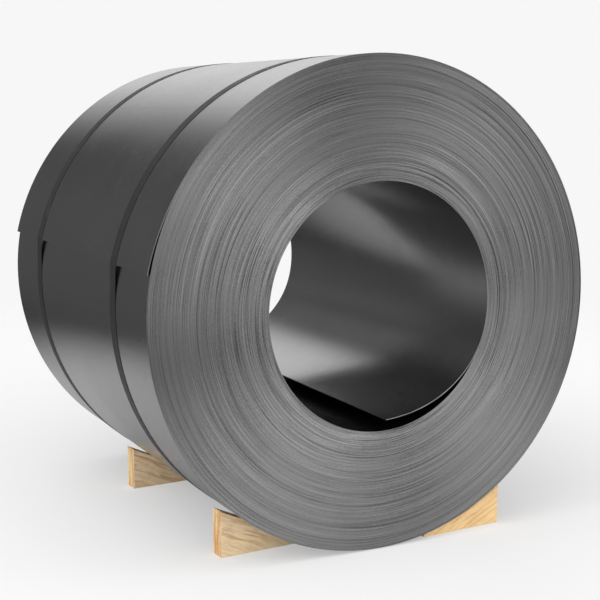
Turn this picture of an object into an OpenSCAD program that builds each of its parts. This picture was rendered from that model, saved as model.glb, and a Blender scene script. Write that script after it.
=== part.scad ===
// Steel coil: slit strip wound on a mandrel, lying with its eye level on four timber chocks.
// Z is up and z = 0 is the floor. The eye runs along Y, and the open front end faces -Y.
// Angles around the coil start at +X and turn towards +Z, as seen from the front end.

/* [Strip] */
// Width of the strip, which is the length of the coil along its eye
strip_width = 914; // [600:1:1250]
// Thickness of the strip
strip_gauge = 2; // [1:0.1:3]
// Number of full wraps
wraps = 124; // [80:1:150]

/* [Eye] */
// Diameter of the eye left by the mandrel
eye_diameter = 508; // [450:1:610]

/* [Ends of the coil] */
// Deepest that a group of wraps sits back from the end of the coil
wrap_setback = 1.6; // [0:0.1:4]
// Number of groups of wraps that show as rings on each end
wrap_groups = 31; // [8:1:40]

/* [Loose outer end] */
// Angle where the cut edge of the outermost wrap stands
outer_end_angle = 169.5; // [160:0.5:175]
// Angle over which the last wrap lifts off the coil
outer_lift_angle = 41.5; // [30:0.5:60]
// Height of the air gap under the cut edge
outer_gap = 5; // [3:0.5:8]

/* [Loose inner end] */
// Angle where the cut edge of the innermost wrap hangs
inner_end_angle = -87.4; // [-100:0.2:-75]
// Drop of the cut edge from the wall of the eye
inner_drop = 24; // [16:0.5:30]
// How much larger the radius of the loose wrap is than the radius of the eye
inner_spring = 28; // [26:1:46]

/* [Straps] */
// Width of a steel strap
strap_width = 32; // [19:1:40]
// Thickness of a steel strap
strap_gauge = 1; // [0.8:0.1:1.4]
// Distance from the middle of the coil to the middle of the front strap
strap_front_offset = 267; // [200:1:300]
// Distance from the middle of the coil to the middle of the rear strap
strap_rear_offset = 255; // [210:1:300]

/* [Chocks] */
// Thickness of a chock, which is sawn timber stood on edge
chock_thickness = 38; // [32:1:50]
// Slope of the face that the coil rests against
chock_slope = 25; // [20:0.5:30]
// Distance of a chock's outer end from the middle of the coil
chock_reach = 317; // [300:1:340]
// Height left at the thin end of a chock
chock_toe = 4; // [2:0.5:8]
// How far each chock is turned out of square
chock_skew = 3.4; // [0:0.1:5]
// Distance of the front left chock's front face from the middle of the coil
chock_front_left_y = 357; // [300:1:400]
// Distance of the front right chock's front face from the middle of the coil
chock_front_right_y = 433; // [380:1:440]
// Distance of the rear left chock's front face behind the middle of the coil
chock_rear_left_y = 161; // [120:1:180]
// Distance of the rear right chock's front face behind the middle of the coil
chock_rear_right_y = 150; // [120:1:180]

/* [Hidden] */
$fn = 180;
eye_r = eye_diameter / 2;
coil_r = eye_r + wraps * strip_gauge;
floor_gap = 1.5;
axis_z = coil_r + floor_gap;
far = 3 * coil_r;
group_depth = (coil_r - eye_r) / wrap_groups;

// The lifted wrap lies on a wider circle. Its centre is shifted away from where it starts to lift,
// and its start is sunk a little into the coil.
lift_start = outer_end_angle - outer_lift_angle;
lift_sunk = 0.3;
lift_top = outer_gap + strip_gauge;
lift_shift = (lift_top + lift_sunk) / (1 - cos(outer_lift_angle));
lift_r = coil_r + lift_shift - lift_sunk;

// Distance from the coil's axis to the lifted wrap's outer face, at an angle around the coil
function lifted(a) =
    sqrt(pow(lift_r, 2) - pow(lift_shift * sin(a - lift_start), 2))
    - lift_shift * cos(a - lift_start);
// Angle where the lifted wrap's outer face leaves the coil's own surface
lift_emerges = lift_start + acos(
    (pow(lift_r, 2) - pow(coil_r, 2) - pow(lift_shift, 2)) / (2 * coil_r * lift_shift)
);

// The loose inner wrap lies on a wider circle centred above the axis
inner_sprung_r = eye_r + inner_spring;
inner_rise = inner_spring + inner_drop;
inner_root_angle = -18;

// The strap runs straight from the cut edge of the outer wrap down to the coil
tip_r = lifted(outer_end_angle);
bridge_angle = acos(coil_r / tip_r);
strap_lands = outer_end_angle + bridge_angle;

// Point at radius r and angle a around the coil, in the plane of an end
function around(r, a) = [r * cos(a), r * sin(a)];

// How far group i of wraps sits back from the end of the coil
function setback(i, turn) = (i == wrap_groups - 1) ? 0 : wrap_setback * pow(sin(i * turn), 2);

// Stands a shape drawn in the plane of an end upright, spanning a length along the eye
module along_eye(length, middle = 0) {
    translate([0, middle + length / 2, axis_z])
        rotate([90, 0, 0])
            linear_extrude(height = length)
                children();
}

// Wedge of the end plane between two angles less than 180 degrees apart
module sector(from, to) {
    polygon([
        [0, 0],
        around(far, from),
        around(far / cos((to - from) / 2), (from + to) / 2),
        around(far, to)
    ]);
}

// Section through half of the wound body, with its groups of wraps as steps on both ends
module wound_section() {
    half = strip_width / 2;
    front = [
        for (i = [0 : wrap_groups - 1], side = [0, 1])
            [eye_r + (i + side) * group_depth, half - setback(i, 71)]
    ];
    rear = [
        for (i = [wrap_groups - 1 : -1 : 0], side = [1, 0])
            [eye_r + (i + side) * group_depth, setback(i, 53) - half]
    ];
    polygon(concat(front, rear));
}

module wound_body() {
    translate([0, 0, axis_z])
        rotate([90, 0, 0])
            rotate_extrude()
                wound_section();
}

// Last wrap, from where it starts to lift to its cut edge
module outer_end() {
    along_eye(strip_width)
        intersection() {
            sector(lift_start, outer_end_angle);
            translate(around(-lift_shift, lift_start))
                difference() {
                    circle(r = lift_r);
                    circle(r = lift_r - strip_gauge);
                }
        }
}

// First wrap, sprung off the wall of the eye
module inner_end() {
    along_eye(strip_width - 2 * wrap_setback)
        intersection() {
            sector(inner_end_angle, inner_root_angle);
            circle(r = eye_r + strip_gauge);
            translate([0, inner_rise])
                difference() {
                    circle(r = inner_sprung_r + strip_gauge);
                    circle(r = inner_sprung_r);
                }
        }
}

module coil() {
    color([0.34, 0.34, 0.35])
        union() {
            wound_body();
            outer_end();
            inner_end();
        }
}

// Straight run of a strap from the cut edge of the outer wrap to where it meets the coil. Both its
// ends run a little way into the rest of the strap.
module strap_bridge() {
    over_tip = outer_end_angle - 0.4;
    past_landing = strap_lands + 1;
    polygon([
        around(tip_r, outer_end_angle),
        around(tip_r + 0.2 * strap_gauge, over_tip),
        around(tip_r + 0.9 * strap_gauge, outer_end_angle - 0.02),
        around(tip_r, outer_end_angle) + around(strap_gauge, strap_lands),
        around(coil_r + 0.9 * strap_gauge, past_landing),
        around(coil_r + 0.1 * strap_gauge, past_landing)
    ]);
}

// Steel strap, tight on the coil, over the lifted wrap and straight across the gap beyond it
module strap(middle) {
    color([0.16, 0.16, 0.17])
        along_eye(strap_width, middle)
            difference() {
                union() {
                    difference() {
                        circle(r = coil_r + strap_gauge);
                        sector(lift_emerges + 6, strap_lands - 1.5);
                    }
                    intersection() {
                        sector(lift_start + 2, outer_end_angle);
                        translate(around(-lift_shift, lift_start))
                            circle(r = lift_r + strap_gauge);
                    }
                    strap_bridge();
                }
                circle(r = coil_r);
                intersection() {
                    sector(lift_start + 2, outer_end_angle);
                    translate(around(-lift_shift, lift_start))
                        circle(r = lift_r);
                }
            }
}

module strap_front() {
    strap(-strap_front_offset);
}

module strap_rear() {
    strap(strap_rear_offset);
}

// Sawn wedge on the +X side, leaning its slope against the coil; front_y is its front face
module chock(front_y, skew) {
    skew_room = chock_thickness / 2 * tan(abs(skew)) * sin(chock_slope) + 0.05;
    foot = axis_z - (coil_r + skew_room) / cos(chock_slope);
    toe_x = (chock_toe - foot) / tan(chock_slope);
    touch_x = coil_r * sin(chock_slope);
    color([0.80, 0.64, 0.42])
        translate([touch_x, front_y + chock_thickness / 2, 0])
            rotate([0, 0, skew])
                rotate([90, 0, 0])
                    translate([-touch_x, 0, -chock_thickness / 2])
                        linear_extrude(height = chock_thickness)
                            polygon([
                                [toe_x, 0],
                                [chock_reach, 0],
                                [chock_reach, foot + chock_reach * tan(chock_slope)],
                                [toe_x, chock_toe]
                            ]);
}

module chock_front_left() {
    mirror([1, 0, 0])
        chock(-chock_front_left_y, -chock_skew);
}

module chock_front_right() {
    chock(-chock_front_right_y, chock_skew);
}

module chock_rear_left() {
    mirror([1, 0, 0])
        chock(chock_rear_left_y, -chock_skew);
}

module chock_rear_right() {
    chock(chock_rear_right_y, chock_skew);
}

coil();
strap_front();
strap_rear();
chock_front_left();
chock_front_right();
chock_rear_left();
chock_rear_right();
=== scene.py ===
"""Steel coil on four timber chocks: its looks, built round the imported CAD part, in metres."""

import math
import random

import bmesh
import bpy
import numpy as np
from mathutils import Matrix, Vector, noise


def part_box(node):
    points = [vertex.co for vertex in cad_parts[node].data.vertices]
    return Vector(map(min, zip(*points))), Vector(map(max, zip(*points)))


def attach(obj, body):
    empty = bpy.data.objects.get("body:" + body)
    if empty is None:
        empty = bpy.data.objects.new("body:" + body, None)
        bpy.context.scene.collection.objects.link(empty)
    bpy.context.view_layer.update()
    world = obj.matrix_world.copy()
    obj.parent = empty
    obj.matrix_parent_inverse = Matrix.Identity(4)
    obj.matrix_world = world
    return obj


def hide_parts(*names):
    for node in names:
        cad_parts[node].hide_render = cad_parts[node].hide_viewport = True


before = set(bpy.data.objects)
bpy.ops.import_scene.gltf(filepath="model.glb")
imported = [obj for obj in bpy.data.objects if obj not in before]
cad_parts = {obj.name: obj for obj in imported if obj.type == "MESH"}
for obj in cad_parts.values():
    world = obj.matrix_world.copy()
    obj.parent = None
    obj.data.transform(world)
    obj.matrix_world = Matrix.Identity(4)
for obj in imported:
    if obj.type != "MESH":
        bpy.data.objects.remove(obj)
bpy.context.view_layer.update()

MM = 0.001

# ---------------------------------------------------------------- sizes of the coil
coil_low, coil_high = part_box("coil")
EYE_R = 254 * MM
GAUGE = 2 * MM
WRAPS = 124
COIL_R = EYE_R + WRAPS * GAUGE
HALF_WIDTH = (coil_high[1] - coil_low[1]) / 2
AXIS_Z = (coil_high[2] + coil_low[2]) / 2

# The last wrap lifts off the coil, and its cut edge stands clear of it. Angles are in degrees from
# +X towards +Z, seen from the front end.
OUTER_START = 128.0
OUTER_END = 169.5
OUTER_LIFT = 7 * MM

# The first wrap has sprung off the wall of the eye, and its cut edge hangs near the bottom.
INNER_START = -14.0
INNER_END = -87.4
INNER_FLAT = -84.0
INNER_DROP = 23.3 * MM

# Mesh steps, and small distances that keep surfaces apart
COLUMNS = 180
ROWS_ALONG = 8
LOOSE_STEP = 1.5
LOOSE_PROUD = 0.05 * MM
LOOSE_SUNK = 0.3 * MM
LOOSE_INSET = 0.15 * MM
RIM_BACK = 0.4 * MM
WRAP_NICK = 0.15 * MM
CUT_BAND = 2.6 * MM
FRONT_SEED = 11
REAR_SEED = 23
STRAP_STEPS = 150
LIFT_STEPS = 24
BRIDGE_STEPS = 8

# ---------------------------------------------------------------- sizes of straps and chocks
STRAP_GAUGE = 0.8 * MM
STRAP_EDGE = 0.25 * MM
STRAP_CLEAR = 0.05 * MM

CHOCK_THICK = 38 * MM
CHOCK_SLOPE = math.radians(25)
CHOCK_SKEW = math.radians(3.4)
CHOCK_REACH = 317 * MM
CHOCK_TOE = 4 * MM
CHOCK_ROOM = 0.53 * MM
# Mesh cells of a chock, and the narrow row of cells beside each of its edges
CHOCK_CELL = 2.6 * MM
CHOCK_CELL_ACROSS = 2.4 * MM
CHOCK_ARRIS = 0.9 * MM
# How deep a chock's ends, broad faces and edges are torn, sawn, worn and chipped
TORN_DEPTH = 1.4 * MM
SAWN_DEPTH = 0.7 * MM
SLOPE_DEPTH = 0.6 * MM
WORN_DEPTH = 0.8 * MM
CHIP_DEPTH = 9 * MM
# The tone of each chock's wood, against the palest board
CHOCK_TONES = {
    "front_left": (1.0, 0.96, 0.93),
    "front_right": (0.98, 0.84, 0.64),
    "rear_left": (1.0, 0.95, 0.94),
    "rear_right": (0.96, 0.90, 0.82),
}

# ---------------------------------------------------------------- sizes and strengths of the studio
CAMERA_AT = (-1.2735, -2.5699, AXIS_Z + 0.3916)
# Degrees the camera turns right, down and over
CAMERA_TURN = (27.19, 8.70, 0.3)
LENS = 74.63
FLOOR_HALF = 6.0
# Distances from the middle between which the floor fades out
FLOOR_FADE = (1.5, 3.4)
# The floor's grey in view and in reflections, and the glow that keeps it pale in view
FLOOR_SEEN = 0.5
FLOOR_MIRRORED = 0.6
FLOOR_GLOW = 0.38
# In reflections the floor ends this many times nearer than it does in view
FLOOR_NEARER = 1.7
# The white that is seen behind the floor, and the dim light between the soft boxes
BACKDROP = 0.93
SURROUND = 0.04
# Light over the whole scene: how wide it is and how it leans, in degrees
FILL_SPREAD = 110
FILL_STRENGTH = 1.5
FILL_TILT = 44
FILL_TURN = -25
# Direction each soft box shines from, degrees to its full and to its last light, and its strength
SOFT_BOXES = (
    ((-0.64, 0.00, 0.77), 12, 38, 1.3),
    ((-0.32, -0.56, 0.77), 12, 40, 0.4),
    ((0.25, 0.70, 0.67), 8, 26, 0.65),
    ((0.32, 0.87, 0.38), 8, 26, 0.65),
    ((0.34, 0.94, 0.04), 8, 26, 0.35),
    ((-0.25, 0.70, 0.67), 8, 26, 0.26),
    ((-0.64, 0.37, 0.67), 8, 26, 0.28),
    ((-0.60, 0.71, 0.38), 8, 26, 0.08),
    ((-0.34, 0.94, 0.04), 8, 26, 0.09),
    ((-0.64, 0.77, 0.04), 8, 26, 0.04),
    ((0.00, 0.00, 1.00), 12, 45, 0.6),
    ((-0.97, 0.00, 0.26), 12, 45, 0.48),
    ((-0.74, -0.62, 0.26), 12, 45, 0.4),
    ((-0.17, -0.95, 0.26), 12, 45, 0.6),
    ((-0.03, -0.93, 0.36), 5, 20, 0.5),
    ((0.48, -0.84, 0.26), 12, 45, 0.15),
    ((0.87, -0.41, 0.26), 12, 45, 0.75),
    ((0.84, -0.42, 0.32), 6, 24, 0.6),
    ((0.60, 0.71, -0.38), 10, 32, 0.2),
)


def smooth_step(t):
    """Eases from 0 to 1, and stays there beyond either end."""
    t = min(1.0, max(0.0, t))
    return t * t * (3 - 2 * t)


def lifted(angle):
    """Radius of the last wrap's outer face: a wider circle that touches the coil at OUTER_START."""
    turn = math.radians(angle - OUTER_START)
    shift = OUTER_LIFT / (1 - math.cos(math.radians(OUTER_END - OUTER_START)))
    wide = COIL_R + shift
    return math.sqrt(wide**2 - (shift * math.sin(turn)) ** 2) - shift * math.cos(turn)


def sprung(angle):
    """Radius of the first wrap's face towards the eye, at an angle between its start and end."""
    share = (INNER_START - angle) / (INNER_START - INNER_FLAT)
    return EYE_R - INNER_DROP * smooth_step(share)


def around(radius, angle, y):
    """Point at a radius and an angle in degrees round the axis of the coil."""
    turn = math.radians(angle)
    return (radius * math.cos(turn), y, AXIS_Z + radius * math.sin(turn))


# ---------------------------------------------------------------- node helpers
class Nodes:
    """Short way to build one material's or world's node tree."""

    def __init__(self, tree):
        self.tree = tree
        tree.nodes.clear()

    def add(self, kind, **settings):
        node = self.tree.nodes.new(kind)
        inputs = settings.pop("inputs", {})
        for name, value in settings.items():
            setattr(node, name, value)
        for name, value in inputs.items():
            self.put(value, node.inputs[name])
        return node

    def put(self, value, socket):
        if isinstance(value, bpy.types.NodeSocket):
            self.tree.links.new(value, socket)
        elif isinstance(value, bpy.types.Node):
            self.tree.links.new(value.outputs[0], socket)
        else:
            socket.default_value = value

    def math(self, operation, a, b=0.0, c=0.0):
        node = self.add("ShaderNodeMath", operation=operation)
        for socket, value in zip(node.inputs, (a, b, c)):
            self.put(value, socket)
        return node.outputs[0]

    def vector(self, operation, a, b=(0, 0, 0)):
        node = self.add("ShaderNodeVectorMath", operation=operation)
        self.put(a, node.inputs[0])
        self.put(b, node.inputs[1])
        return node.outputs["Value" if operation in ("DOT_PRODUCT", "LENGTH") else "Vector"]

    def spread(self, value, low, high, to_low=0.0, to_high=1.0, kind="SMOOTHSTEP"):
        return self.add(
            "ShaderNodeMapRange",
            interpolation_type=kind,
            inputs={
                "Value": value,
                "From Min": low,
                "From Max": high,
                "To Min": to_low,
                "To Max": to_high,
            },
        ).outputs["Result"]

    def noise(self, vector, scale, detail=2.0, rough=0.5, distortion=0.0):
        return self.add(
            "ShaderNodeTexNoise",
            inputs={
                "Vector": vector,
                "Scale": scale,
                "Detail": detail,
                "Roughness": rough,
                "Distortion": distortion,
            },
        ).outputs["Fac"]

    def mix(self, share, a, b, blend="MIX"):
        node = self.add("ShaderNodeMix", data_type="RGBA", blend_type=blend)
        self.put(share, node.inputs[0])
        self.put(a, node.inputs[6])
        self.put(b, node.inputs[7])
        return node.outputs[2]

    def total(self, *parts):
        """Sum of (value, share) parts."""
        total = 0.0
        for value, share in parts:
            total = self.math("ADD", self.math("MULTIPLY", value, share), total)
        return total

    def combine(self, **inputs):
        return self.add("ShaderNodeCombineXYZ", inputs=inputs).outputs[0]

    def separate(self, vector):
        return self.add("ShaderNodeSeparateXYZ", inputs={"Vector": vector}).outputs

    def place(self):
        return self.add("ShaderNodeTexCoord").outputs["Object"]

    def bump(self, height, distance, strength):
        inputs = {"Height": height, "Distance": distance, "Strength": strength}
        return self.add("ShaderNodeBump", inputs=inputs).outputs["Normal"]


def new_material(name):
    made = bpy.data.materials.new(name)
    made.use_nodes = True
    return made, Nodes(made.node_tree)


def finish_surface(nodes, inputs):
    shader = nodes.add("ShaderNodeBsdfPrincipled", inputs=inputs)
    nodes.add("ShaderNodeOutputMaterial", inputs={"Surface": shader.outputs["BSDF"]})


def grey(value, warmth=0.0):
    """A grey, a little towards orange if it has some warmth."""
    return (value * (1 + warmth), value, value * (1 - warmth), 1.0)


# ---------------------------------------------------------------- materials
def polar_coordinates(nodes):
    """A point of the coil as its radius, its unit direction round the axis, and how far along."""
    x, y, z = nodes.separate(nodes.place())
    across = nodes.combine(X=x, Y=nodes.math("SUBTRACT", z, AXIS_Z))
    return nodes.vector("LENGTH", across), nodes.vector("NORMALIZE", across), y


def rolled_steel():
    """Oiled dark sheet: smooth and satin, with a faint film of oil and bands along the strip."""
    made, nodes = new_material("rolled_steel")
    _, unit, along = polar_coordinates(nodes)
    across_strip = nodes.combine(Z=nodes.math("MULTIPLY", along, 55.0))
    bands = nodes.noise(nodes.vector("ADD", unit, across_strip), 1.0, detail=4.0, rough=0.6)
    place = nodes.place()
    film = nodes.noise(place, 3.5, detail=3.0, rough=0.55)
    scuffs = nodes.noise(place, 60.0, detail=5.0, rough=0.7)
    shade = nodes.total((bands, 0.3), (film, 0.5), (scuffs, 0.2))
    colour = nodes.mix(shade, grey(0.28, -0.003), grey(0.35, -0.003))
    film_rough = nodes.spread(film, 0.3, 0.7, 0.19, 0.24)
    scuff_rough = nodes.spread(scuffs, 0.35, 0.7, 0.0, 0.04)
    finish_surface(
        nodes,
        {
            "Base Color": colour,
            "Metallic": 1.0,
            "Roughness": nodes.math("ADD", film_rough, scuff_rough),
            "Normal": nodes.bump(scuffs, 0.01 * MM, 0.2),
        },
    )
    return made


def slit_edges():
    """The wraps' cut edges: bright and dull lines round the eye, each as it was slit and rubbed."""
    made, nodes = new_material("slit_edges")
    radius, unit, _ = polar_coordinates(nodes)

    def rings(step, arcs):
        """Noise that changes over a step of radius; the more arcs, the shorter its lines are."""
        outwards = nodes.combine(Z=nodes.math("DIVIDE", radius, step))
        turned = nodes.vector("MULTIPLY", unit, (arcs,) * 3)
        return nodes.noise(nodes.vector("ADD", turned, outwards), 1.0, detail=1.0)

    hair = rings(0.9 * MM, 1.8)
    line = rings(2.1 * MM, 1.1)
    band = rings(7.5 * MM, 1.2)
    zone = rings(40 * MM, 0.6)
    gaps = rings(1.6 * MM, 1.3)
    place = nodes.place()
    patch = nodes.noise(place, 7.0, detail=2.0)
    smudge = nodes.noise(place, 9.0, detail=4.0, rough=0.6)
    speck = nodes.noise(place, 420.0, detail=3.0, rough=0.7)
    layers = ((hair, 0.42), (line, 0.20), (band, 0.08), (zone, 0.08), (speck, 0.22))
    shade = nodes.total(*((nodes.spread(layer, 0.32, 0.68), share) for layer, share in layers))
    # The lines show more by the eye, and in patches
    by_eye = nodes.spread(radius, EYE_R + 25 * MM, EYE_R + 130 * MM, 0.45, 0.0)
    show = nodes.math("ADD", nodes.spread(patch, 0.42, 0.62, 0.4, 0.95), by_eye)
    shade = nodes.math("MULTIPLY_ADD", nodes.math("SUBTRACT", shade, 0.5), show, 0.5)
    colour = nodes.mix(shade, grey(0.14), grey(0.74))
    dark = nodes.math("MULTIPLY", nodes.spread(gaps, 0.60, 0.68, 0, 0.6), show)
    colour = nodes.mix(dark, colour, grey(0.10))
    colour = nodes.mix(nodes.spread(smudge, 0.5, 0.8, 0, 0.2), colour, grey(0.30, 0.02))
    # The ends' colour goes darker from the eye out towards the rim
    darker_to_rim = nodes.spread(radius, EYE_R, COIL_R, 0.0, 0.3, kind="LINEAR")
    colour = nodes.mix(darker_to_rim, colour, grey(0.12))
    band_rough = nodes.spread(band, 0.3, 0.7, 0.38, 0.33)
    line_rough = nodes.spread(line, 0.3, 0.7, 0.03, -0.03)
    relief = nodes.total((line, 0.6), (hair, 0.4))
    round_axis = nodes.add("ShaderNodeTangent", direction_type="RADIAL", axis="Y").outputs[0]
    finish_surface(
        nodes,
        {
            "Base Color": colour,
            "Metallic": 1.0,
            "Roughness": nodes.math("ADD", band_rough, line_rough),
            "Anisotropic": 1.0,
            "Anisotropic Rotation": 0.25,
            "Normal": nodes.bump(relief, 0.5 * MM, 0.6),
            "Tangent": round_axis,
        },
    )
    return made


def strap_steel():
    """Waxed black strapping, dull, a little rubbed in places."""
    made, nodes = new_material("strap_steel")
    place = nodes.place()
    mottle = nodes.noise(place, 40.0, detail=5.0, rough=0.65)
    rubbed = nodes.noise(place, 14.0, detail=4.0, rough=0.6)
    colour = nodes.mix(mottle, grey(0.02), grey(0.04))
    colour = nodes.mix(nodes.spread(rubbed, 0.6, 0.75, 0, 0.3), colour, grey(0.10))
    rough = nodes.spread(mottle, 0.3, 0.7, 0.42, 0.55)
    finish_surface(
        nodes,
        {
            "Base Color": colour,
            "Roughness": rough,
            "Specular IOR Level": 0.2,
            "Normal": nodes.bump(mottle, 0.05 * MM, 0.5),
        },
    )
    return made


def own_tone(nodes, colour):
    """The colour in the chock's own tone, since no two are cut from the same board."""
    tone = nodes.add("ShaderNodeObjectInfo").outputs["Color"]
    return nodes.mix(1.0, colour, tone, blend="MULTIPLY")


def chock_place(nodes):
    """Place inside a chock, and that place moved by an amount of the chock's own for its grain."""
    place = nodes.place()
    own = nodes.add("ShaderNodeObjectInfo").outputs["Random"]
    step = nodes.vector("MULTIPLY", own, (3.0, 5.0, 2.0))
    return place, nodes.vector("ADD", place, step)


def sawn_wood():
    """Pale softwood: long grain along the slope, mottled faces, a few small knots."""
    made, nodes = new_material("sawn_wood")
    place, moved = chock_place(nodes)
    x, y, z = nodes.separate(place)
    wander = nodes.noise(moved, 9.0, detail=2.0)
    bend = nodes.math("MULTIPLY", nodes.math("SUBTRACT", wander, 0.5), 22 * MM)
    # The grain runs along the slope, so it changes fast square to it
    up, out = math.cos(CHOCK_SLOPE), math.sin(CHOCK_SLOPE)
    stands_at = nodes.add("ShaderNodeObjectInfo").outputs["Location"]
    side = nodes.math("SIGN", nodes.separate(stands_at)["X"])
    outward = nodes.math("MULTIPLY", x, side)
    across = nodes.total((z, up), (outward, -out))
    down = nodes.total((z, out), (outward, up))
    strands = nodes.combine(
        X=nodes.math("MULTIPLY", down, 10.0),
        Y=nodes.math("MULTIPLY", y, 90.0),
        Z=nodes.math("MULTIPLY", nodes.math("ADD", across, bend), 150.0),
    )
    own = nodes.vector("SUBTRACT", moved, place)
    strands = nodes.vector("ADD", strands, own)
    grain = nodes.noise(strands, 1.0, detail=6.0, rough=0.65, distortion=0.5)
    fibre = nodes.noise(nodes.vector("MULTIPLY", strands, (3, 5, 5)), 1.0, detail=4.0, rough=0.7)
    blotch = nodes.noise(moved, 24.0, detail=5.0, rough=0.65)
    patch = nodes.noise(moved, 6.0, detail=2.0)
    shown = nodes.spread(patch, 0.4, 0.6, 0.45, 1.0)
    seen_grain = nodes.math("MULTIPLY", nodes.spread(grain, 0.44, 0.60), shown)
    colour = nodes.mix(seen_grain, (1.0, 0.80, 0.52, 1), (0.66, 0.42, 0.21, 1))
    colour = nodes.mix(nodes.spread(blotch, 0.5, 0.66, 0, 0.45), colour, (0.72, 0.52, 0.34, 1))
    colour = nodes.mix(nodes.spread(fibre, 0.54, 0.62, 0, 0.65), colour, (1.0, 0.90, 0.64, 1))
    low = nodes.spread(nodes.math("ADD", z, bend), 4 * MM, 34 * MM, 0.3, 0.0)
    colour = nodes.mix(low, colour, (0.95, 0.80, 0.50, 1))
    knots = nodes.add(
        "ShaderNodeTexVoronoi", inputs={"Vector": moved, "Scale": 13.0, "Randomness": 1.0}
    ).outputs["Distance"]
    colour = nodes.mix(nodes.spread(knots, 0.05, 0.11, 0.55, 0.0), colour, (0.40, 0.25, 0.13, 1))
    colour = own_tone(nodes, colour)
    rough = nodes.spread(grain, 0.2, 0.8, 0.72, 0.9)
    relief = nodes.total((grain, 0.6), (fibre, 0.4))
    finish_surface(
        nodes,
        {"Base Color": colour, "Roughness": rough, "Normal": nodes.bump(relief, 0.6 * MM, 0.6)},
    )
    return made


def end_grain():
    """Cut ends of a chock: torn, orange and yellow bands of growth rings running upright."""
    made, nodes = new_material("end_grain")
    place, moved = chock_place(nodes)
    _, y, z = nodes.separate(moved)
    wander = nodes.math("SUBTRACT", nodes.noise(moved, 22.0, detail=3.0), 0.5)
    wander = nodes.math("MULTIPLY", wander, 10 * MM)
    bands = nodes.combine(
        Y=nodes.math("MULTIPLY", nodes.math("ADD", y, wander), 150.0),
        Z=nodes.math("MULTIPLY", z, 12.0),
    )
    rings = nodes.noise(bands, 1.0, detail=4.0, rough=0.6)
    torn = nodes.noise(moved, 260.0, detail=3.0, rough=0.7)
    rim = nodes.total((nodes.math("ABSOLUTE", nodes.separate(place)["Y"]), 1.0), (wander, 0.5))
    late, early = (0.76, 0.37, 0.13, 1), (0.92, 0.72, 0.40, 1)
    colour = nodes.mix(nodes.spread(rings, 0.43, 0.57), late, early)
    colour = nodes.mix(nodes.spread(torn, 0.5, 0.68, 0, 0.5), colour, (0.50, 0.29, 0.13, 1))
    colour = nodes.mix(nodes.spread(rim, 13 * MM, 18 * MM, 0, 0.6), colour, (0.93, 0.82, 0.62, 1))
    relief = nodes.total((rings, 0.7), (torn, 0.3))
    finish_surface(
        nodes,
        {"Base Color": colour, "Roughness": 0.88, "Normal": nodes.bump(relief, 1.2 * MM, 0.8)},
    )
    return made


def floor_paint():
    """Pale matt floor that ends softly away from the coil, and sooner in the coil's reflections."""
    made, nodes = new_material("floor_paint")
    seen = nodes.add("ShaderNodeLightPath").outputs["Is Camera Ray"]
    nearer = nodes.spread(seen, 0.0, 1.0, FLOOR_NEARER, 1.0, kind="LINEAR")
    radius = nodes.math("MULTIPLY", nodes.vector("LENGTH", nodes.place()), nearer)
    colour = nodes.mix(seen, grey(FLOOR_MIRRORED), grey(FLOOR_SEEN))
    paint = nodes.add("ShaderNodeBsdfDiffuse", inputs={"Color": colour})
    strength = nodes.math("MULTIPLY", seen, FLOOR_GLOW)
    glow = nodes.add("ShaderNodeEmission", inputs={"Color": grey(1.0), "Strength": strength})
    lit = nodes.add("ShaderNodeAddShader")
    nodes.put(paint.outputs[0], lit.inputs[0])
    nodes.put(glow.outputs[0], lit.inputs[1])
    clear = nodes.add("ShaderNodeBsdfTransparent")
    mixed = nodes.add("ShaderNodeMixShader", inputs={"Fac": nodes.spread(radius, *FLOOR_FADE)})
    nodes.put(lit.outputs[0], mixed.inputs[1])
    nodes.put(clear.outputs[0], mixed.inputs[2])
    nodes.add("ShaderNodeOutputMaterial", inputs={"Surface": mixed.outputs[0]})
    return made


# ---------------------------------------------------------------- meshes
def skin(loops, closed):
    """Points and faces of a tube through loops of points, either joined up or capped at its ends."""
    size = len(loops[0])
    points = [point for loop in loops for point in loop]
    faces = []
    for k in range(len(loops) if closed else len(loops) - 1):
        here = k * size
        there = (k + 1) % len(loops) * size
        for i in range(size):
            j = (i + 1) % size
            faces.append((here + i, there + i, there + j, here + j))
    if not closed:
        faces.append(tuple(range(size)))
        faces.append(tuple(reversed(range(len(points) - size, len(points)))))
    return points, faces


def join(shells):
    """One list of points and one of faces, from several shells."""
    points, faces = [], []
    for shell_points, shell_faces in shells:
        start = len(points)
        points += shell_points
        faces += [tuple(start + corner for corner in face) for face in shell_faces]
    return points, faces


def make_piece(name, points, faces, materials, sharp_over=30.0):
    """A smooth mesh object with its normals outwards, creased where faces meet at a sharp angle."""
    mesh = bpy.data.meshes.new(name)
    mesh.from_pydata(points, [], faces)
    shape = bmesh.new()
    shape.from_mesh(mesh)
    bmesh.ops.recalc_face_normals(shape, faces=shape.faces)
    shape.to_mesh(mesh)
    shape.free()
    for material in materials:
        mesh.materials.append(material)
    mesh.shade_smooth()
    mesh.set_sharp_from_angle(angle=math.radians(sharp_over))
    piece = bpy.data.objects.new(name, mesh)
    bpy.context.scene.collection.objects.link(piece)
    return piece


# ---------------------------------------------------------------- coil
def wrap_edges(seed):
    """How each wrap's cut edge stands, in mm: how far back from the end, its tilt, its wander."""
    draw = random.Random(seed)
    edges = []
    left_in_group = 0
    for wrap in range(WRAPS):
        if left_in_group == 0:
            left_in_group = draw.choice((1, 2, 3, 5, 8, 12))
            group = draw.uniform(0.2, 1.5)
        left_in_group -= 1
        edges.append(
            {
                "back": group + draw.uniform(0.0, 0.35),
                "tilt": draw.gauss(0.0, 0.10),
                "wander": draw.uniform(0.02, 0.14),
                "phase": draw.uniform(0, 2 * math.pi),
                "ripple": draw.uniform(0.0, 0.05),
            }
        )
    edges[0]["back"] = edges[-1]["back"] = RIM_BACK / MM
    return edges


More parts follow.
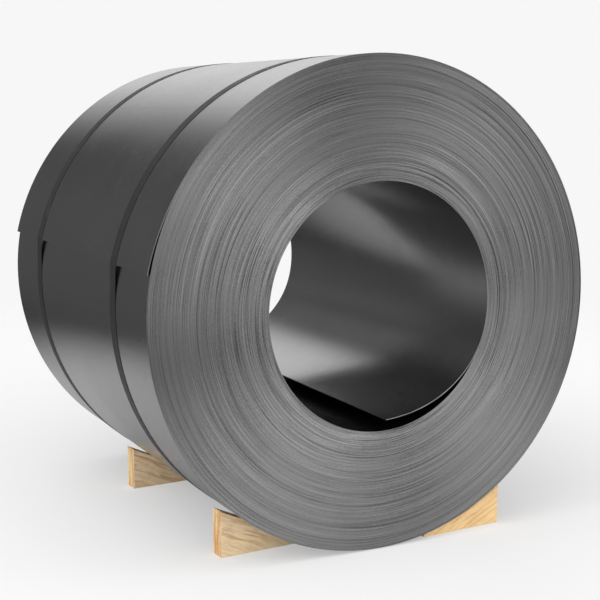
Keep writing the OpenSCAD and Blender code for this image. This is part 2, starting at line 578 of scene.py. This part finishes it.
def end_rings(side, seed):
    """Rings of points over one end of the coil, two to a wrap, from the eye outwards."""
    rings = []
    for wrap, edge in enumerate(wrap_edges(seed)):
        for outer in (0, 1):
            radius = EYE_R + (wrap + outer) * GAUGE
            if outer and wrap < WRAPS - 1:
                radius -= WRAP_NICK
            ring = []
            for step in range(COLUMNS):
                angle = step * 360 / COLUMNS
                turn = math.radians(angle)
                back = edge["back"] + edge["tilt"] * (1 if outer else -1)
                back += edge["wander"] * math.cos(turn - edge["phase"])
                back += edge["ripple"] * math.cos(5 * turn + edge["phase"])
                ring.append(around(radius, angle, side * (HALF_WIDTH - max(0.02, back) * MM)))
            rings.append(ring)
    return rings


def between(first, last):
    """Rings of points that run along the eye from one ring to another, without those two."""
    return [
        [tuple(Vector(a).lerp(Vector(b), step / ROWS_ALONG)) for a, b in zip(first, last)]
        for step in range(1, ROWS_ALONG)
    ]


def loose_sheet(start, end, outer_radius, inner_radius):
    """A loose end of the strip as a curved slab, from one angle up to a larger one."""
    steps = round((end - start) / LOOSE_STEP)
    y = HALF_WIDTH - LOOSE_INSET
    loops = []
    for step in range(steps + 1):
        angle = start + (end - start) * step / steps
        outer, inner = outer_radius(angle), inner_radius(angle)
        loops.append(
            [
                around(outer, angle, y),
                around(outer, angle, -y),
                around(inner, angle, -y),
                around(inner, angle, y),
            ]
        )
    return skin(loops, closed=False)


def coil(rolled, slit):
    """The wound strip: a turned body whose ends show every wrap, and the strip's two loose ends."""
    front, rear = end_rings(-1, FRONT_SEED), end_rings(1, REAR_SEED)
    rings = front + between(front[-1], rear[-1]) + rear[::-1] + between(rear[0], front[0])
    body = skin(rings, closed=True)
    outer = loose_sheet(
        OUTER_START,
        OUTER_END,
        lambda angle: lifted(angle) + LOOSE_PROUD,
        lambda angle: max(lifted(angle) - GAUGE, COIL_R - LOOSE_SUNK),
    )
    inner = loose_sheet(
        INNER_END,
        INNER_START,
        lambda angle: min(sprung(angle) + GAUGE, EYE_R + LOOSE_SUNK),
        lambda angle: sprung(angle) - LOOSE_PROUD,
    )
    points, faces = join([body, outer, inner])
    piece = make_piece("coil_wound", points, faces, [rolled, slit])

    mesh = piece.data
    end_ring = np.zeros(len(rings), bool)
    end_ring[: len(front)] = True
    end_ring[len(front) + ROWS_ALONG - 1 : len(rings) - ROWS_ALONG + 1] = True
    corners = np.zeros(len(mesh.edges) * 2, np.int32)
    mesh.edges.foreach_get("vertices", corners)
    ring_of = corners.reshape(-1, 2) // COLUMNS
    on_body = (ring_of < len(rings)).all(axis=1)
    along = on_body & (ring_of[:, 0] == ring_of[:, 1])
    creased = along & end_ring[np.minimum(ring_of[:, 0], len(rings) - 1)]
    sharp = mesh.attributes.get("sharp_edge")
    sharp = sharp or mesh.attributes.new("sharp_edge", "BOOLEAN", "EDGE")
    marks = np.zeros(len(mesh.edges), bool)
    sharp.data.foreach_get("value", marks)
    sharp.data.foreach_set("value", marks | creased)

    centres = np.zeros(len(mesh.polygons) * 3, np.float32)
    mesh.polygons.foreach_get("center", centres)
    at_ends = np.abs(centres.reshape(-1, 3)[:, 1]) > HALF_WIDTH - CUT_BAND
    mesh.polygons.foreach_set("material_index", at_ends.astype(np.int32))
    return piece


# ---------------------------------------------------------------- straps
def strap_stations():
    """Places and normals round a strap's inner face: the coil, the lifted wrap, the bridge."""
    tip_r = lifted(OUTER_END) + LOOSE_PROUD
    lands = OUTER_END + math.degrees(math.acos(COIL_R / tip_r))

    def station(radius, angle, facing=None):
        turn = math.radians(angle)
        facing = turn if facing is None else math.radians(facing)
        place = (radius * math.cos(turn), AXIS_Z + radius * math.sin(turn))
        return place, (math.cos(facing), math.sin(facing))

    round_coil = 360 + OUTER_START - lands
    on_coil = [
        station(COIL_R + STRAP_CLEAR, lands + round_coil * step / STRAP_STEPS)
        for step in range(STRAP_STEPS)
    ]
    lift = OUTER_END - OUTER_START
    rise = [OUTER_START + lift * step / LIFT_STEPS for step in range(LIFT_STEPS + 1)]
    on_wrap = [station(lifted(angle) + LOOSE_PROUD + STRAP_CLEAR, angle) for angle in rise]
    tip = station(tip_r + STRAP_CLEAR, OUTER_END, facing=lands)
    down = station(COIL_R + STRAP_CLEAR, lands)
    tip_at, landing = np.array(tip[0]), np.array(down[0])
    bridge = [
        (tuple(tip_at + (landing - tip_at) * step / BRIDGE_STEPS), tip[1])
        for step in range(BRIDGE_STEPS)
    ]
    return on_coil + on_wrap + bridge


def strap(name, node, material):
    """A steel band with rounded long edges, lying on the coil and bridging the step past its end."""
    low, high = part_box(node)
    middle, half = (low[1] + high[1]) / 2, (high[1] - low[1]) / 2
    edge = STRAP_EDGE
    section = [
        (0.0, half - edge),
        (edge, half),
        (STRAP_GAUGE - edge, half),
        (STRAP_GAUGE, half - edge),
    ]
    section += [(height, -across) for height, across in reversed(section)]
    loops = []
    for (x, z), (normal_x, normal_z) in strap_stations():
        loops.append(
            [(x + normal_x * h, middle + across, z + normal_z * h) for h, across in section]
        )
    points, faces = skin(loops, closed=True)
    return make_piece(name, points, faces, [material])


# ---------------------------------------------------------------- chocks
def shares(length, cell, edge):
    """Shares of a length, in even cells but for a short one at each end."""
    inner = max(1, round((length - 2 * edge) / cell))
    places = [0.0] + [edge + (length - 2 * edge) * i / inner for i in range(inner + 1)] + [length]
    return [place / length for place in places]


def block_surface(us, vs, ws):
    """Grid over a unit block: its places (u, v, w), its faces, and the side each face is on."""
    numbers, places, faces, sides = {}, [], [], []

    def point(i, j, k):
        key = (i, j, k)
        if key not in numbers:
            numbers[key] = len(places)
            places.append((us[i], vs[j], ws[k]))
        return numbers[key]

    sizes = (len(us), len(vs), len(ws))
    for axis in range(3):
        first, second = [other for other in range(3) if other != axis]
        for end in (0, sizes[axis] - 1):
            for a in range(sizes[first] - 1):
                for b in range(sizes[second] - 1):
                    corners = []
                    for da, db in ((0, 0), (1, 0), (1, 1), (0, 1)):
                        index = [0, 0, 0]
                        index[axis], index[first], index[second] = end, a + da, b + db
                        corners.append(point(*index))
                    faces.append(tuple(corners))
                    sides.append((axis, end > 0))
    return places, faces, sides


def chock(name, node, wood, grain, seed, tone):
    """A sawn wedge just inside its CAD node: rough faces, torn ends, worn and chipped edges."""
    low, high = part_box(node)
    side = 1 if low[0] > 0 else -1
    slope = math.tan(CHOCK_SLOPE)
    foot = AXIS_Z - (COIL_R + CHOCK_ROOM) / math.cos(CHOCK_SLOPE)
    toe_x = (CHOCK_TOE - foot) / slope
    touch_x = COIL_R * math.sin(CHOCK_SLOPE)
    length = CHOCK_REACH - toe_x
    tall = foot + CHOCK_REACH * slope

    us = shares(length, CHOCK_CELL, CHOCK_ARRIS)
    vs = shares(CHOCK_THICK, CHOCK_CELL_ACROSS, CHOCK_ARRIS)
    ws = shares(tall, CHOCK_CELL, CHOCK_ARRIS)
    places, faces, sides = block_surface(us, vs, ws)
    shift = Vector((seed * 7.3, seed * 3.1, seed * 5.7))
    points = []
    for u, v, w in places:
        x = toe_x + u * length
        height = foot + x * slope
        point = Vector((x, (v - 0.5) * CHOCK_THICK, w * height))
        coarse = noise.noise((point + shift) * 45.0)
        fine = noise.noise((point + shift) * 230.0)
        ribs = noise.noise(Vector((seed, point.y * 210.0, point.z * 22.0)))
        sawn = noise.noise(Vector((point.x * 330.0 + point.z * 60.0, seed, point.z * 12.0)))
        chips = max(0.0, noise.noise((point + shift) * 85.0) - 0.15) * CHIP_DEPTH
        touched = [share in (0.0, 1.0) for share in (u, v, w)]
        worn = (0.55 + 0.45 * coarse) * WORN_DEPTH + chips if sum(touched) > 1 else 0.0
        worn = min(worn, height / 5)
        if touched[0]:
            torn = (0.8 + 1.0 * ribs + 0.3 * fine) * TORN_DEPTH
            point.x += (max(0.0, torn) + worn) * (1 if u == 0.0 else -1)
        if touched[1]:
            rough = (0.3 + 0.25 * coarse + 0.2 * fine + 0.2 * sawn) * SAWN_DEPTH
            point.y += (max(0.0, rough) + worn) * (1 if v == 0.0 else -1)
        if touched[2]:
            rough = (0.3 + 0.3 * coarse + 0.25 * fine) * SLOPE_DEPTH
            point.z += (max(0.0, min(rough, height / 8)) + worn) * (1 if w == 0.0 else -1)
        points.append(((point.x - touch_x) * side, point.y, point.z))

    piece = make_piece(name, points, faces, [wood, grain], sharp_over=50.0)
    ends = [axis == 0 for axis, _ in sides]
    piece.data.polygons.foreach_set("material_index", np.array(ends, np.int32))
    lean = (toe_x + CHOCK_REACH - 2 * touch_x) / 2 * math.sin(CHOCK_SKEW) * side
    piece.location = (side * touch_x, (low[1] + high[1]) / 2 - lean, 0.0)
    piece.color = (*tone, 1.0)
    piece.rotation_euler = (0.0, 0.0, CHOCK_SKEW)
    return piece


# ---------------------------------------------------------------- studio
def studio_floor():
    """Flat floor, wide enough that its edges have faded out."""
    mesh = bpy.data.meshes.new("floor")
    half = FLOOR_HALF
    corners = [(-half, -half, 0), (half, -half, 0), (half, half, 0), (-half, half, 0)]
    mesh.from_pydata(corners, [], [(0, 1, 2, 3)])
    mesh.materials.append(floor_paint())
    floor = bpy.data.objects.new("floor", mesh)
    bpy.context.scene.collection.objects.link(floor)
    return floor


def studio_light():
    """White surround for the eye, and soft boxes of light all round for the surfaces."""
    world = bpy.data.worlds.new("studio")
    bpy.context.scene.world = world
    world.use_nodes = True
    nodes = Nodes(world.node_tree)
    way = nodes.add("ShaderNodeTexCoord").outputs["Generated"]
    total = SURROUND
    for direction, narrow, wide, strength in SOFT_BOXES:
        axis = tuple(Vector(direction).normalized())
        facing = nodes.vector("DOT_PRODUCT", way, axis)
        dark_at, full_at = (math.cos(math.radians(angle)) for angle in (wide, narrow))
        total = nodes.math("ADD", nodes.spread(facing, dark_at, full_at, 0, strength), total)
    seen = nodes.add("ShaderNodeLightPath").outputs["Is Camera Ray"]
    lights = nodes.add("ShaderNodeBackground", inputs={"Color": grey(1.0), "Strength": total})
    white = nodes.add("ShaderNodeBackground", inputs={"Color": grey(1.0), "Strength": BACKDROP})
    mixed = nodes.add("ShaderNodeMixShader", inputs={"Fac": seen})
    nodes.put(lights.outputs[0], mixed.inputs[1])
    nodes.put(white.outputs[0], mixed.inputs[2])
    nodes.add("ShaderNodeOutputWorld", inputs={"Surface": mixed.outputs[0]})


def overhead_fill():
    """Broad light from above the camera for the wood and floor, kept out of the metal's gloss."""
    data = bpy.data.lights.new("overhead_fill", "SUN")
    data.angle = math.radians(FILL_SPREAD)
    data.energy = FILL_STRENGTH
    fill = bpy.data.objects.new("overhead_fill", data)
    fill.location = (0, -2, 4)
    fill.rotation_euler = (math.radians(FILL_TILT), 0, math.radians(FILL_TURN))
    fill.visible_glossy = False
    bpy.context.scene.collection.objects.link(fill)


def camera():
    """Long lens from the front left, a little above the coil's top, slightly rolled."""
    yaw, pitch, roll = (math.radians(angle) for angle in CAMERA_TURN)
    ahead = Vector((math.sin(yaw), math.cos(yaw), 0))
    forward = math.cos(pitch) * ahead - math.sin(pitch) * Vector((0, 0, 1))
    level = Vector((math.cos(yaw), -math.sin(yaw), 0))
    upright = level.cross(forward)
    right = math.cos(roll) * level + math.sin(roll) * upright
    up = -math.sin(roll) * level + math.cos(roll) * upright
    data = bpy.data.cameras.new("camera")
    data.sensor_width = 36.0
    data.lens = LENS
    data.clip_end = 100.0
    made = bpy.data.objects.new("camera", data)
    turn = Matrix((right, up, -forward)).transposed().to_4x4()
    made.matrix_world = Matrix.Translation(Vector(CAMERA_AT)) @ turn
    bpy.context.scene.collection.objects.link(made)
    bpy.context.scene.camera = made


# ---------------------------------------------------------------- scene
bpy.context.scene.view_settings.view_transform = "Standard"
bpy.context.scene.view_settings.look = "None"

rolled, slit = rolled_steel(), slit_edges()
strapping, wood, cut_wood = strap_steel(), sawn_wood(), end_grain()

wound = coil(rolled, slit)
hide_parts("coil")
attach(wound, "root")

for place in ("front", "rear"):
    band = strap(f"strap_band_{place}", f"strap_{place}", strapping)
    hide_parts(f"strap_{place}")
    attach(band, "root")

for seed, (place, tone) in enumerate(CHOCK_TONES.items(), start=1):
    wedge = chock(f"chock_wedge_{place}", f"chock_{place}", wood, cut_wood, seed, tone)
    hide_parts(f"chock_{place}")
    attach(wedge, "root")

studio_floor()
studio_light()
overhead_fill()
camera()
